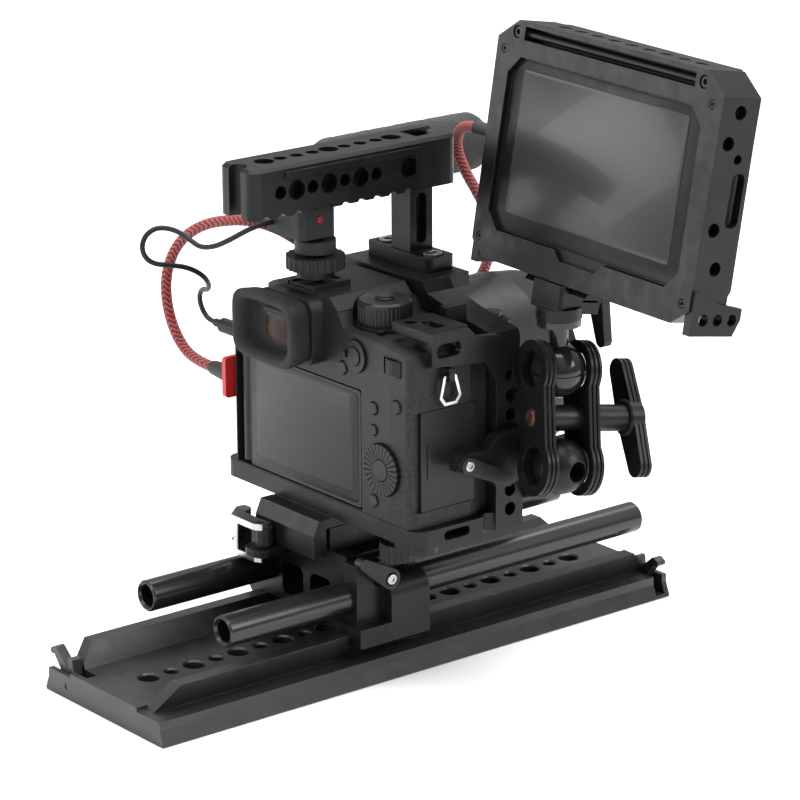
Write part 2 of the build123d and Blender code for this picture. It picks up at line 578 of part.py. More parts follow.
# ---------------------------------------------------------------- microphone
def mic_body():
    foot = box(-8.8, 8.8, 18.8, 37, 182.4, 183.7)
    stem = rod((0, MIC_Y, 183.7), (0, MIC_Y, 206), 4)
    stem += rod((0, MIC_Y, 186.2), (0, MIC_Y, 189.4), 8.8) + rod((0, MIC_Y, 198), (0, MIC_Y, 204), 9.6)
    head = fillet(box(-8, 20, 22, 42.4, 206, 220.6).edges().filter_by(Axis.Z), 3)
    bridge = box(14, 34, 24, 40, 207, 226)
    barrel = rod((FOAM_X, 2, FOAM_Z), (FOAM_X, 44, FOAM_Z), 11)
    barrel = fillet(barrel.edges().filter_by(GeomType.CIRCLE), 3)
    tip = rod((FOAM_X, -84, FOAM_Z), (FOAM_X, 3, FOAM_Z), 9.5)
    return foot + stem + head + bridge + barrel + tip


def mic_lock_ring():
    ring = tube((0, MIC_Y, 190.4), (0, MIC_Y, 196.6), 13.7, 4.0 + FIT)
    return ring - ring_of(rod((14.3, MIC_Y, 188), (14.3, MIC_Y, 200), 1.3), 24, (0, MIC_Y))


def windshield():
    foam = rod((FOAM_X, -97, FOAM_Z), (FOAM_X, 1.8, FOAM_Z), FOAM_R)
    foam = fillet(foam.edges().filter_by(GeomType.CIRCLE), 9)
    return foam - rod((FOAM_X, -84.1, FOAM_Z), (FOAM_X, 5, FOAM_Z), 9.6)


# ---------------------------------------------------------------- cables
def cable(name, route, radius):
    """Tube of straight runs joined by tangent arcs."""
    points = [Vector(*point) for point in route]
    runs = [b - a for a, b in zip(points, points[1:])]
    radii = [0.45 * min(a.length, b.length) / tan(radians(a.get_angle(b) / 2)) for a,
             b in zip(runs, runs[1:])]
    path = FilletPolyline(*points, radius=radii)
    section = Plane(origin=path @ 0, z_dir=path % 0) * Circle(radius)
    solid = sweep(section, path=path)
    print(f"{name}: length {path.length:.1f}, smallest radius {min(radii):.1f},",
          f"volume {solid.volume:.0f} against {pi * radius ** 2 * path.length:.0f}")
    return solid


def camera_plug():
    shell = fillet(box(57, 59.8, 27, 39.4, 115.5, 135.5).edges().filter_by(Axis.X), 2)
    boss = rod((54, 33, 125.5), (57, 33, 125.5), 1.0)
    relief = Plane(origin=(59.8, 33, 125.5), z_dir=(1, 0, 0)) * Cone(
        5.0, 3.4, 15.7, align=(Align.CENTER, Align.CENTER, Align.MIN))
    return shell + boss + relief


def mic_plug():
    body = rod((57, 30, 147), (71, 30, 147), 3.6)
    return body + rod((71, 30, 147), (77, 30, 147), 2.0)


# ---------------------------------------------------------------- ball arm
ARM = Plane(origin=ARM_MIDDLE, x_dir=ARM_LONG, z_dir=ARM_AXIS)
LOWER_BALL = ARM.from_local_coords((-BALL_SPACING / 2, 0, 0))
UPPER_BALL = ARM.from_local_coords((BALL_SPACING / 2, 0, 0))


def side_clamp():
    """Clamp on the cage's upright, with its post and the lower ball."""
    x, y, z = LOWER_BALL
    face = outline([(-26, 100), (-26, 124), (-6, 124), (-1, 118.6), (17.6, 118.6), (17.6, 110.8), (0, 110.8),
                    (-5, 100)], 1.5)
    block = plate_yz(face, -88.8, CAGE_SIDE - 0.1)
    post = rod((-80, -60, 100), (-80, -26.2, 100), 12)
    post = chamfer(post.edges().filter_by(GeomType.CIRCLE), 1)
    bridge = box(-88.8, -84, -40, -26, 101, 115)
    neck = rod((x + 9.8, y - 1.8, z), (x + 21.6, y - 4.0, z), 5)
    ball = Pos(x, y, z) * Sphere(BALL_R)
    hole = rod((x - 14, y, z), (x - 3, y, z), R_THREE_EIGHTHS) + box(x - 14, x - 11.5, y - 8, y + 8,
                                                                     z - 8, z + 8)
    return block + post + bridge + neck + ball - hole - rod((-92, *SIDE_PIVOT), (-80, *SIDE_PIVOT), 2.0 + FIT)


def side_clamp_lever():
    arm = plate_yz(link(SIDE_PIVOT, (-9.5, 103.5), 3.9, 3.2), -92.6, -89.1)
    pin = rod((-89.1, *SIDE_PIVOT), (-84, *SIDE_PIVOT), 2.0)
    return arm + pin - hex_socket((-92.7, *SIDE_PIVOT), (-91, *SIDE_PIVOT), 1.8)


def arm_outline(inset=0.0):
    ends = [Pos(side * BALL_SPACING / 2, 0) * Circle(13.6 - inset) for side in (-1, 1)]
    waist = Rectangle(BALL_SPACING, 22 - 2 * inset)
    return ends[0] + ends[1] + waist


def arm_plates():
    plates = []
    for low, high in ((ARM_INNER, ARM_OUTER), (-ARM_OUTER, -ARM_INNER)):
        plate = plate_xy(arm_outline(), low, high)
        for z in (low + 1.3, low + 3.5):
            plate -= plate_xy(arm_outline() - arm_outline(0.9), z, z + 1.0)
        for side in (-1, 1):
            plate -= Pos(side * BALL_SPACING / 2, 0, 0) * Sphere(BALL_R + 0.08)
            plate -= Pos(side * BALL_SPACING / 2, 0, (low + high) / 2) * Cylinder(8.8, 12)
        plate -= Cylinder(4.0, 40)
        plates.append(ARM * plate)
    return Compound(plates)


def arm_bolt():
    shaft = rod((0, 0, -ARM_OUTER), (0, 0, 32), 3.9)
    head = rod((0, 0, -ARM_OUTER - 0.8), (0, 0, -ARM_OUTER), 4.4)
    barrel = rod((0, 0, -ARM_INNER), (0, 0, ARM_INNER), 6.0)
    return ARM * (head + shaft + barrel)


def wing_nut():
    collar = rod((0, 0, ARM_OUTER + 0.3), (0, 0, 33.5), 6.2)
    hub = chamfer(rod((0, 0, 33.5), (0, 0, 41.4), 8.4).edges().filter_by(GeomType.CIRCLE), 0.8)
    grip = link((0, 0), (23, 0), 7.2, 5.6) + link((0, 0), (-23, 0), 7.2, 5.6)
    bar = plate_xy(grip, 35, 41)
    for z in (36.4, 38.6):
        bar -= plate_xy(grip - offset(grip, -0.7), z, z + 1.0)
    nut = collar + hub + Rot(0, 0, 163) * bar
    return ARM * (nut - rod((0, 0, 14), (0, 0, 32.3), 3.9 + FIT))


def ball_head():
    """Upper ball, its stem and the turntable under the monitor's mount."""
    x, y, z = UPPER_BALL
    ball = Pos(x, y, z) * Sphere(BALL_R)
    ball -= Pos(x, y, z) * (Cylinder(13.5, 1.0) - Cylinder(12.0, 1.0))
    stem = rod((x, y, z + 10), (x, y, 173), 4.2)
    table = rod((x, y, 173), (x, y, 176.2), 10)
    return ball + stem + table + rod((x, y, 176.2), (x, y, 183), 2.6)


# ---------------------------------------------------------------- monitor
MONITOR = Pos(*MONITOR_AT) * Rot(0, 0, MONITOR_YAW) * Rot(MONITOR_PITCH, 0, 0)
RAIL_Y = -9.5               # rail's centre, in the monitor's own frame


def frame_outline(inset=0.0):
    """The monitor cage's eight-sided outline."""
    corners = [(66, 56.3), (80, 47), (78.5, -47), (69, -54.2), (-66, -54.2), (-77, -47), (-79, 47),
               (-66, 56.3)]
    face = outline(corners)
    return offset(face, -inset, kind=Kind.INTERSECTION) if inset else face


def window(inset=0.0):
    wide, high, cut = 68.0 - inset, 40.0 - inset, 8.0
    notch = [(17, -high), (12.5, -high - 4.6), (-12.5, -high - 4.6), (-17, -high)]
    corners = [(wide - cut, high), (wide, high - cut), (wide, cut - high), (wide - cut, -high), *notch,
               (cut - wide, -high), (-wide, cut - high), (-wide, high - cut), (cut - wide, high)]
    return Pos(1.5, 0) * outline(corners)


def monitor_cage():
    shell = plate_xz(frame_outline(), -21, 0) - plate_xz(frame_outline(4.5), -25, -3.2)
    shell -= plate_xz(window(), -5, 1)
    shell -= box(-59, 61, -6.4, 1, 47.8, 54.0)
    shell += plate_xz(frame_outline(), -9.4, -6.4) & box(-62, 64, -9.4, -6.4, 45, 56.3)
    bar = rod((-60, -3.4, 50.6), (62, -3.4, 50.6), 1.8)
    side = outline([(-1, -57.4), (-25.5, -57.4), (-29, -50), (-29, -45), (-15, -43), (-4, -38), (-1, -38)])
    wings = [plate_yz(side, low, low + 4.6) for low in (-78.6, 73.9)]
    bottom_rail = box(-72, 70, -29, -21, -54.2, -46.5)
    top_rail = box(-60, 60, -25, -21, 50.5, 56.3)
    foot = plate_yz(outline([(RAIL_Y - 4, -54.2), (RAIL_Y - 6.4, -57.6), (RAIL_Y + 6.4, -57.6),
                             (RAIL_Y + 4, -54.2)]),
                    -4, 40)
    cuts = []
    for x, z in ((74.5, 42), (-71.8, 42.3), (-71.8, -44.3), (73.5, -44.9)):
        cuts.append(rod((x, 1, z), (x, -1.6, z), 2.1))
    cuts += [rod((x, 1, 50.8), (x, -2.6, 50.8), 3.0) for x in (-64.6, 66.6)]
    for y, z, radius in ((-10.6, 40.3, 3.2), (-6.6, 26.6, 3.2), (-13.4, 20, 2.2), (-6.6, -11, 3.2),
                         (-11, -28, 3.2)):
        cuts += [rod((side * 90, y, z), (side * 70, y, z), radius) for side in (-1, 1)]
    cuts.append(plate_yz(round_rect(-15.6, 2, 7.2, 24, 3), -84, -70))
    cuts.append(plate_yz(round_rect(-14, 0, 13.6, 21, 1.5), 70, 86))
    for y in (-7.7, -15.8, -23.9):
        cuts += [rod((side * 90, y, -50.2), (side * 62, y, -50.2), 2.7) for side in (-1, 1)]
    for index in range(9):
        cuts.append(rod((-48 + 12 * index, -12, 50), (-48 + 12 * index, -12, 60), R_QUARTER))
    return MONITOR * (shell + bottom_rail + top_rail + foot + wings - cuts + bar)


def monitor_body():
    case = box(-72.0, 73.6, -27, -3.3, -42, 44)
    case = fillet(case.edges().filter_by(Axis.Y), 4)
    bezel = plate_xz(window(0.3), -3.3, -2.3)
    socket = box(70, 76, -20.3, -7.6, -9.7, 9.7)
    return MONITOR * (case + bezel - socket)


def monitor_mount():
    """Quick clamp that holds the monitor's rail and turns on the ball stem."""
    block = box(7, 29, RAIL_Y - 13, RAIL_Y + 11, -67, -54.6)
    block = chamfer(block.edges().filter_by(Axis.Z), 1.5)
    groove = plate_yz(outline([(RAIL_Y - 4.3, -54), (RAIL_Y - 6.8, -57.9), (RAIL_Y + 6.8, -57.9),
                               (RAIL_Y + 4.3, -54)]), 0, 40)
    slit = box(0, 40, RAIL_Y - 14, RAIL_Y - 2, -61.6, -60.6)
    clamp = MONITOR * (block - groove - slit)
    x, y = UPPER_BALL.X, UPPER_BALL.Y
    disc = rod((x, y, 176.5), (x, y, 182), 10.5)
    boss = rod((x, y - 12, 181.5), (x, y - 21, 181.5), 5)
    pivots = [rod((x, y, 170), (x, y, 183.3), 2.6 + FIT), rod((x, y - 12.8, 181.5), (x, y - 22, 181.5),
                                                              2.0 + FIT)]
    return clamp + disc + boss - pivots


def mount_lever():
    """Hanging lever that works the monitor's quick clamp."""
    x, y = UPPER_BALL.X, UPPER_BALL.Y
    arm = plate_xz(link((x, 181.5), (x - 4, 162), 5, 3), y - 26, y - 21.3)
    return arm + rod((x, y - 21.3, 181.5), (x, y - 13, 181.5), 2.0)


def monitor_plug():
    """Cable plug in the monitor's far side."""
    tip = box(74.2, 79.6, -20, -8, -9.4, 9.4)
    shell = box(79.6, 84.2, -20.5, -7.5, -10, 10)
    relief_start = (MONITOR * Pos(84, -14, 0)).position
    relief = rod(relief_start, HDMI_ROUTE[-1], 3.5)
    return MONITOR * (tip + shell) + relief


# ---------------------------------------------------------------- write everything
def build():
    nodes["dovetail_plate"] = dovetail_plate()
    nodes["rear_stop"] = rear_stop()
    nodes["front_stop"] = turned(rear_stop(), (0, 0))
    nodes["near_rod"] = rail(-ROD_X)
    nodes["far_rod"] = rail(ROD_X)
    for maker in (bridge_base, dovetail_jaw, clamp_lever, qr_clamp, qr_jaw, qr_plate, qr_cam,
                  qr_cam_lever, cage,
                  thumb_knob, cage_screws, strap_ring, handle_post, handle_bar, camera_body, control_wheel,
                  set_button, af_lever, af_button, thumb_wheel, mode_dial, power_lever, drive_dial,
                  shutter_button,
                  sd_door, battery, lcd_panel, eyecup, lens_barrel, zoom_ring, lens_front, lens_hood,
                  mic_body,
                  mic_lock_ring, windshield, camera_plug, mic_plug, side_clamp, side_clamp_lever, arm_plates,
                  arm_bolt, wing_nut, ball_head, monitor_cage, monitor_body, monitor_mount, mount_lever,
                  monitor_plug):
        nodes[maker.__name__] = maker()
    for name in BUTTONS:
        nodes[name] = back_button(name)
    nodes["hdmi_cable"] = cable("hdmi_cable", HDMI_ROUTE, HDMI_R)
    nodes["mic_cable"] = cable("mic_cable", MIC_ROUTE, MIC_WIRE_R)
    os.makedirs("parts", exist_ok=True)
    for name, shape in nodes.items():
        export_step(shape, f"parts/{name}.step")
    print(len(nodes), "nodes")


build()
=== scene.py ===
"""Looks for the camera rig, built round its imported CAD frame.

Metres. +Z is up, -Y is the way the lens looks, -X is the grip side, and the origin is the
centre of the base plate's underside. Sizes written in millimetres are multiplied by MM.
"""
from math import cos, pi, radians, sin

import bpy
from mathutils import Matrix, Vector, noise


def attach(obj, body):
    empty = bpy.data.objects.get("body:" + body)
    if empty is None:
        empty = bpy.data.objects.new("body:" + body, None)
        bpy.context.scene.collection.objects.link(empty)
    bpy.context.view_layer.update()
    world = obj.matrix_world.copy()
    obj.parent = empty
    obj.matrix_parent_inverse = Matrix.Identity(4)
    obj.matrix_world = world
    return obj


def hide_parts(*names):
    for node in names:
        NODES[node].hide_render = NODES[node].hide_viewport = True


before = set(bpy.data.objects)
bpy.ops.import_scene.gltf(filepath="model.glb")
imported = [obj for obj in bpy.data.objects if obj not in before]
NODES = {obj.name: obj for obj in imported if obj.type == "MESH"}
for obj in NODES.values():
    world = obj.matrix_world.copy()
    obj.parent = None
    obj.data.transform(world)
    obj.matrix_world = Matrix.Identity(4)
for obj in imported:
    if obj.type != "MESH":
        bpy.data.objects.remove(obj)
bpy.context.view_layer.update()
MM = 0.001

# ---------------------------------------------------------------- camera
CAMERA_PLACE = Vector((-1.30614, 1.02243, 0.64041))
CAMERA_AZIMUTH = 231.39
CAMERA_ELEVATION = 17.4
CAMERA_ROLL = -0.32
FOCAL_LENGTH = 167.01       # millimetres, on a 36 mm sensor

# ---------------------------------------------------------------- places taken from the CAD
LENS_Z = 124.0
CONTROL_WHEEL = (-58.4, 109.0)
DIAL = (-36.0, 16.5)
DIAL_TOP = 181.2
FOAM_X, FOAM_Z, FOAM_R = 33.0, 225.5, 14.4
FOAM_FRONT, FOAM_REAR, FOAM_ROUND = -97.0, 1.8, 9.0
MONITOR = (Matrix.Translation(Vector((-113.0, -40.0, 246.5)) * MM)
           @ Matrix.Rotation(radians(-3.2), 4, "Z") @ Matrix.Rotation(radians(9.9), 4, "X"))

HDMI_DIAMETER = 5.3
MIC_WIRE_DIAMETER = 2.5
HDMI_ROUTE = [
    (75.5, 33, 125.5), (87, 33, 125.5), (98, 34.5, 130), (106, 36, 142), (110, 36, 157), (108, 35, 171),
    (100, 33, 184), (86, 30, 193.5), (69, 26.5, 198.5), (57, 22.5, 199.8), (49.5, 13, 196), (50, 1, 188),
    (57, -11, 180.5), (66, -22, 172.5), (72, -34, 163.5), (75, -47, 154.5), (73.5, -62, 146),
    (66, -78, 139.5), (56, -93, 138.5), (48, -103, 144.5), (41.5, -107, 155.5), (33, -104, 168),
    (24, -97, 181), (17, -88, 194), (12.5, -78, 206.5), (10.5, -68.5, 219), (9.7, -63, 231),
    (5.4, -60.8, 239.5), (-1.9445, -60.0221, 244.093), (-9.932, -59.5755, 244.093),
]
MIC_ROUTE = [
    (14, 42.4, 211), (14, 49, 211), (17, 55, 208.5), (23.5, 60, 203.5), (32, 62.5, 199), (40, 64.5, 197.5),
    (46.5, 65, 199.5), (52.5, 67.5, 203), (56.3, 72.5, 205), (58, 77.6, 205), (59.5, 81.8, 201.8),
    (60.1, 83.4, 196.5), (59.5, 81.8, 191.3), (58, 77.6, 188), (57, 69, 186.3), (56.5, 59.5, 183.5),
    (58, 50.5, 178), (63, 43.5, 171.5), (70.5, 38.5, 166.5), (76.7, 35.6, 164.3), (82.2, 33.5, 163),
    (86.4, 32.3, 159.9), (88, 31.3, 155), (86.4, 30.4, 150.1), (82.2, 30, 147), (77, 30, 147),
]


# ---------------------------------------------------------------- materials
def node(tree, kind, inputs=None, **settings):
    """New shader node; an input is a value or another node's output."""
    made = tree.nodes.new("ShaderNode" + kind)
    for key, value in settings.items():
        setattr(made, key, value)
    for key, value in (inputs or {}).items():
        if isinstance(value, bpy.types.NodeSocket):
            tree.links.new(value, made.inputs[key])
        else:
            made.inputs[key].default_value = value
    return made


def maths(tree, operation, first, second=0.0):
    return node(tree, "Math", {0: first, 1: second}, operation=operation).outputs[0]


def span(tree, value, low, high, new_low=0.0, new_high=1.0):
    """Value stretched from one range to another, held at its ends."""
    inputs = {"Value": value, "From Min": low, "From Max": high, "To Min": new_low, "To Max": new_high}
    return node(tree, "MapRange", inputs).outputs["Result"]


def blend_colours(tree, factor, first, second):
    made = node(tree, "Mix", data_type="RGBA")
    for index, value in ((0, factor), (6, first), (7, second)):
        if isinstance(value, bpy.types.NodeSocket):
            tree.links.new(value, made.inputs[index])
        else:
            made.inputs[index].default_value = value if index == 0 else (*value, 1.0)
    return made.outputs[2]


def start_material(name):
    material = bpy.data.materials.new(name)
    material.use_nodes = True
    tree = material.node_tree
    return material, tree, tree.nodes["Principled BSDF"], node(tree, "TexCoord").outputs["Object"]


def noise_of(tree, place, scale, detail=3.0):
    return node(tree, "TexNoise", {"Vector": place, "Scale": scale, "Detail": detail}).outputs["Fac"]


def rounded_edges(tree, radius):
    return node(tree, "Bevel", {"Radius": radius * MM}, samples=4).outputs["Normal"]


SHEEN_LEVEL = 0.25          # of the black finishes, half of plain plastic's


def surface(name, colour, roughness, metallic=0.0, grain=2500, depth=0.01, spread=0.06, edge=0.3, edge_wear_and_highlight=0.0,
            worn_and_lit_edge_colour=(0.16, 0.16, 0.165), coat=0.0, streaks=None, shine=SHEEN_LEVEL):
    """Hard material: mottled colour and gloss, fine grain, rounded edges, and edges lightened towards a
    pale colour, partly as wear and partly as a painted highlight.
    """
    material, tree, shader, place = start_material(name)
    if streaks:
        place = node(tree, "Mapping", {"Vector": place, "Scale": streaks}).outputs["Vector"]
    cloud = noise_of(tree, place, 45.0)
    low = [0.8 * c for c in colour]
    high = [1.25 * c + 0.001 for c in colour]
    tint = blend_colours(tree, span(tree, cloud, 0.35, 0.65), low, high)
    soft = rounded_edges(tree, edge)
    # Edges lightened towards a pale colour: partly edge wear, partly a painted highlight along the edges.
    if edge_wear_and_highlight:
        facing = node(tree, "NewGeometry").outputs["Normal"]
        straight = node(tree, "VectorMath", {0: soft, 1: facing}, operation="DOT_PRODUCT").outputs["Value"]
        patchy = span(tree, noise_of(tree, place, 160.0), 0.42, 0.62, 0.0, edge_wear_and_highlight)
        worn_and_lit_edges = maths(tree, "MULTIPLY", span(tree, straight, 0.985, 0.86), patchy)
        tint = blend_colours(tree, worn_and_lit_edges, tint, worn_and_lit_edge_colour)
    tree.links.new(tint, shader.inputs["Base Color"])
    gloss = span(tree, noise_of(tree, place, 140.0), 0.3, 0.7, roughness - spread, roughness + spread)
    tree.links.new(gloss, shader.inputs["Roughness"])
    shader.inputs["Metallic"].default_value = metallic
    shader.inputs["Specular IOR Level"].default_value = shine
    shader.inputs["Coat Weight"].default_value = coat
    shader.inputs["Coat Roughness"].default_value = 0.12
    bump = node(tree, "Bump",
                {"Strength": 1.0, "Distance": depth * MM, "Height": noise_of(tree, place, grain, 2.0),
                               "Normal": soft})
    tree.links.new(bump.outputs["Normal"], shader.inputs["Normal"])
    return material


def camera_shell():
    """Textured black shell, with pebbled leatherette round the grip below a seam, painted darker in the
    crevices between the pebbles as shade.
    """
    material, tree, shader, place = start_material("camera_shell")
    axes = node(tree, "SeparateXYZ", {"Vector": place})
    sideways, upward = axes.outputs["X"], axes.outputs["Z"]
    grip = maths(tree, "MULTIPLY", span(tree, sideways, -0.0628, -0.0634),
                 span(tree, upward, 0.1486, 0.1480))
    grip = maths(tree, "MULTIPLY", grip, span(tree, upward, 0.0885, 0.0890))
    cells = node(tree, "TexVoronoi", {"Vector": place, "Scale": 900.0},
                 feature="SMOOTH_F1").outputs["Distance"]
    pebbles = span(tree, cells, 0.15, 0.75, 1.0, 0.0)
    grain = noise_of(tree, place, 3200.0, 2.0)
    height = node(tree, "Mix", {0: grip, 2: maths(tree, "MULTIPLY", grain, 0.16), 3: pebbles}).outputs[0]
    shell = blend_colours(tree, noise_of(tree, place, 40.0), (0.008, 0.008, 0.0085), (0.016, 0.016, 0.0165))
    # Leatherette lighter on the pebbles' tops and darker in the crevices between them: painted shade.
    hide = blend_colours(tree, pebbles, (0.006, 0.006, 0.006), (0.021, 0.021, 0.022))
    tree.links.new(blend_colours(tree, grip, shell, hide), shader.inputs["Base Color"])
    tree.links.new(span(tree, grip, 0.0, 1.0, 0.46, 0.54), shader.inputs["Roughness"])
    shader.inputs["Specular IOR Level"].default_value = SHEEN_LEVEL
    bump = node(tree, "Bump", {"Strength": 1.0, "Distance": 0.09 * MM, "Height": height,
                               "Normal": rounded_edges(tree, 0.5)})
    tree.links.new(bump.outputs["Normal"], shader.inputs["Normal"])
    return material


BRAID_ROWS = 150.0          # pairs of a red and a black strand along the cable
BRAID_SLANTS = 6.0          # turns of the herringbone round the cable
RED_SHARE = 0.42


def braid():
    """Red sleeve braided with black: slanting strands that turn back in a herringbone."""
    material, tree, shader, place = start_material("red_black_braid")
    uv = node(tree, "SeparateXYZ", {"Vector": node(tree, "TexCoord").outputs["UV"]})
    along = maths(tree, "MULTIPLY", uv.outputs["X"], BRAID_ROWS)
    slant = maths(tree, "PINGPONG", maths(tree, "MULTIPLY", uv.outputs["Y"], BRAID_SLANTS), 1.0)
    strand = maths(tree, "FRACT", maths(tree, "ADD", along, slant))
    black = maths(tree, "GREATER_THAN", strand, RED_SHARE)
    tint = blend_colours(tree, black, (0.50, 0.016, 0.014), (0.010, 0.008, 0.008))
    tree.links.new(tint, shader.inputs["Base Color"])
    ridges = maths(tree, "SINE", maths(tree, "MULTIPLY", strand, 4 * pi))
    worn = span(tree, noise_of(tree, place, 90.0), 0.3, 0.7, 0.58, 0.66)
    tree.links.new(worn, shader.inputs["Roughness"])
    shader.inputs["Sheen Weight"].default_value = 0.2
    bump = node(tree, "Bump", {"Strength": 0.8, "Distance": 0.12 * MM, "Height": ridges})
    tree.links.new(bump.outputs["Normal"], shader.inputs["Normal"])
    return material


def plug(name, limit):
    """Red moulded shell on the connector's side of X = limit, and black rubber strain relief beyond it."""
    material, tree, shader, place = start_material(name)
    beyond = maths(tree, "GREATER_THAN", node(tree, "SeparateXYZ", {"Vector": place}).outputs["X"],
                   limit * MM)
    mottled = noise_of(tree, place, 60.0)
    red = blend_colours(tree, mottled, (0.40, 0.014, 0.014), (0.52, 0.020, 0.020))
    rubber = blend_colours(tree, mottled, (0.007, 0.007, 0.007), (0.013, 0.013, 0.013))
    tree.links.new(blend_colours(tree, beyond, red, rubber), shader.inputs["Base Color"])
    tree.links.new(span(tree, beyond, 0.0, 1.0, 0.38, 0.6), shader.inputs["Roughness"])
    bump = node(tree, "Bump",
                {"Strength": 1.0, "Distance": 0.012 * MM, "Height": noise_of(tree, place, 3000.0),
                               "Normal": rounded_edges(tree, 0.3)})
    tree.links.new(bump.outputs["Normal"], shader.inputs["Normal"])
    return material


def foam():
    """Open-cell foam, dark grey, painted darker in its pores as shade."""
    material, tree, shader, place = start_material("open_foam")
    cells = node(tree, "TexVoronoi", {"Vector": place, "Scale": 1400.0}).outputs["Distance"]
    # Darker at the cells' middles, where the bump sinks into pores: painted shade.
    tint = blend_colours(tree, span(tree, cells, 0.1, 0.6), (0.005, 0.005, 0.0055), (0.018, 0.018, 0.0195))
    tree.links.new(tint, shader.inputs["Base Color"])
    shader.inputs["Roughness"].default_value = 0.95
    shader.inputs["Sheen Weight"].default_value = 0.15
    bump = node(tree, "Bump", {"Strength": 1.0, "Distance": 0.35 * MM, "Height": cells})
    tree.links.new(bump.outputs["Normal"], shader.inputs["Normal"])
    return material


def ribbed(name, colour, roughness, centre, count, depth, inner):
    """Black finish with ribs that run out from an axis along Y at centre (X, Z), beyond an inner radius;
    the grooves between the ribs are painted darker as shade.
    """
    material, tree, shader, place = start_material(name)
    axes = node(tree, "SeparateXYZ", {"Vector": place})
    across = maths(tree, "SUBTRACT", axes.outputs["X"], centre[0] * MM)
    upward = maths(tree, "SUBTRACT", axes.outputs["Z"], centre[1] * MM)
    squares = maths(tree, "ADD", maths(tree, "MULTIPLY", across, across),
                    maths(tree, "MULTIPLY", upward, upward))
    outside = span(tree, maths(tree, "SQRT", squares), inner * MM, (inner + 0.3) * MM)
    turn = maths(tree, "MULTIPLY", maths(tree, "ARCTAN2", upward, across), float(count))
    groove = maths(tree, "MULTIPLY", span(tree, maths(tree, "SINE", turn), 0.25, 0.75), outside)
    mottled = blend_colours(tree, noise_of(tree, place, 60.0), colour, [1.3 * c for c in colour])
    # Grooves darkened to a quarter of the finish's colour: painted shade.
    tree.links.new(blend_colours(tree, groove, mottled, [0.25 * c for c in colour]),
                   shader.inputs["Base Color"])
    tree.links.new(span(tree, groove, 0.0, 1.0, roughness, 0.7), shader.inputs["Roughness"])
    shader.inputs["Specular IOR Level"].default_value = SHEEN_LEVEL
    bump = node(tree, "Bump",
                {"Strength": 1.0, "Distance": depth * MM, "Height": maths(tree, "SUBTRACT", 1.0, groove),
                               "Normal": rounded_edges(tree, 0.2)})
    tree.links.new(bump.outputs["Normal"], shader.inputs["Normal"])
    return material


def glass(name, colour, roughness=0.04, coat=1.0, shine=0.5):
    """Dark screen or coated lens glass, its gloss a little uneven."""
    material, tree, shader, place = start_material(name)
    tint = blend_colours(tree, noise_of(tree, place, 12.0), [0.95 * c for c in colour],
                         [1.05 * c for c in colour])
    tree.links.new(tint, shader.inputs["Base Color"])
    gloss = span(tree, noise_of(tree, place, 40.0), 0.3, 0.7, roughness, roughness + 0.012)
    tree.links.new(gloss, shader.inputs["Roughness"])
    shader.inputs["Specular IOR Level"].default_value = shine
    shader.inputs["Coat Weight"].default_value = coat
    shader.inputs["Coat Roughness"].default_value = 0.02
    return material


BLACK = (0.0045, 0.0045, 0.005)
MATERIALS = {
    "anodised": surface("black_anodised", BLACK, 0.36, depth=0.008, edge_wear_and_highlight=0.35),
    "plate": surface("plate_anodised", (0.010, 0.010, 0.0105), 0.36, depth=0.012, edge_wear_and_highlight=0.5, shine=0.5),
    "rod": surface("rod_anodised", (0.0075, 0.0075, 0.008), 0.24, spread=0.04, depth=0.004, edge_wear_and_highlight=0.2,
                   streaks=(1.0, 0.08, 1.0), shine=0.55),
    "lever": surface("lever_paint", (0.010, 0.010, 0.0105), 0.32, depth=0.006, edge_wear_and_highlight=0.4),
    "chrome": surface("polished_chrome", (0.44, 0.44, 0.46), 0.20, metallic=1.0, spread=0.03, depth=0.002),
    "steel": surface("turned_steel", (0.42, 0.42, 0.44), 0.30, metallic=1.0, depth=0.004),
    "ball": surface("polished_black_ball", (0.010, 0.010, 0.011), 0.16, spread=0.03, depth=0.002, coat=0.4),
    "shell": camera_shell(),
    "controls": surface("control_plastic", (0.009, 0.009, 0.0095), 0.36, grain=4000, depth=0.01, edge=0.2),
    "wheel": ribbed("ribbed_wheel", (0.010, 0.010, 0.0105), 0.36, CONTROL_WHEEL, 26, 0.35, 5.6),
    "grip_ring": ribbed("ribbed_rubber_ring", (0.010, 0.010, 0.010), 0.5, (0.0, LENS_Z), 96, 0.4, 10.0),
    "dial": surface("dial_metal", (0.012, 0.012, 0.0125), 0.28, edge=0.15, edge_wear_and_highlight=0.3),
    "rubber": surface("soft_rubber", (0.012, 0.012, 0.012), 0.66, grain=3500, depth=0.02, edge=0.3),
    "lens": surface("lens_metal", (0.011, 0.011, 0.0115), 0.33, depth=0.006, edge_wear_and_highlight=0.2),
    "hood": surface("hood_plastic", (0.009, 0.009, 0.009), 0.36, grain=4000, depth=0.012),
    "plastic": surface("moulded_plastic", (0.011, 0.011, 0.0115), 0.48, grain=3500, depth=0.018),
    "red": surface("red_plastic", (0.20, 0.006, 0.006), 0.38, grain=3000, depth=0.012),
    "camera_plug": plug("camera_plug_shell", 59.9),
    "monitor_plug": plug("monitor_plug_shell", -29.3),
    "white": surface("white_paint", (0.75, 0.75, 0.73), 0.45, depth=0.004, edge=0.05),
    "brass": surface("brass_pin", (0.62, 0.36, 0.24), 0.30, metallic=1.0, depth=0.004, edge=0.1),
    "wire": surface("cable_rubber", (0.010, 0.010, 0.010), 0.48, grain=3000, depth=0.01, edge=0.05),
    "foam": foam(),
    "braid": braid(),
    "screen": glass("screen_glass", (0.028, 0.029, 0.030), 0.26, 0.1, 0.3),
    "lcd_screen": glass("lcd_screen_glass", (0.016, 0.016, 0.018), 0.3, 0.02, 0.25),
    "border": surface("screen_border", (0.0045, 0.0045, 0.005), 0.34, depth=0.003),
    "eye_glass": glass("eyepiece_lens", (0.026, 0.013, 0.009), 0.2, 0.0, 0.12),
    "lens_glass": glass("coated_glass", (0.008, 0.007, 0.016), 0.02),
}
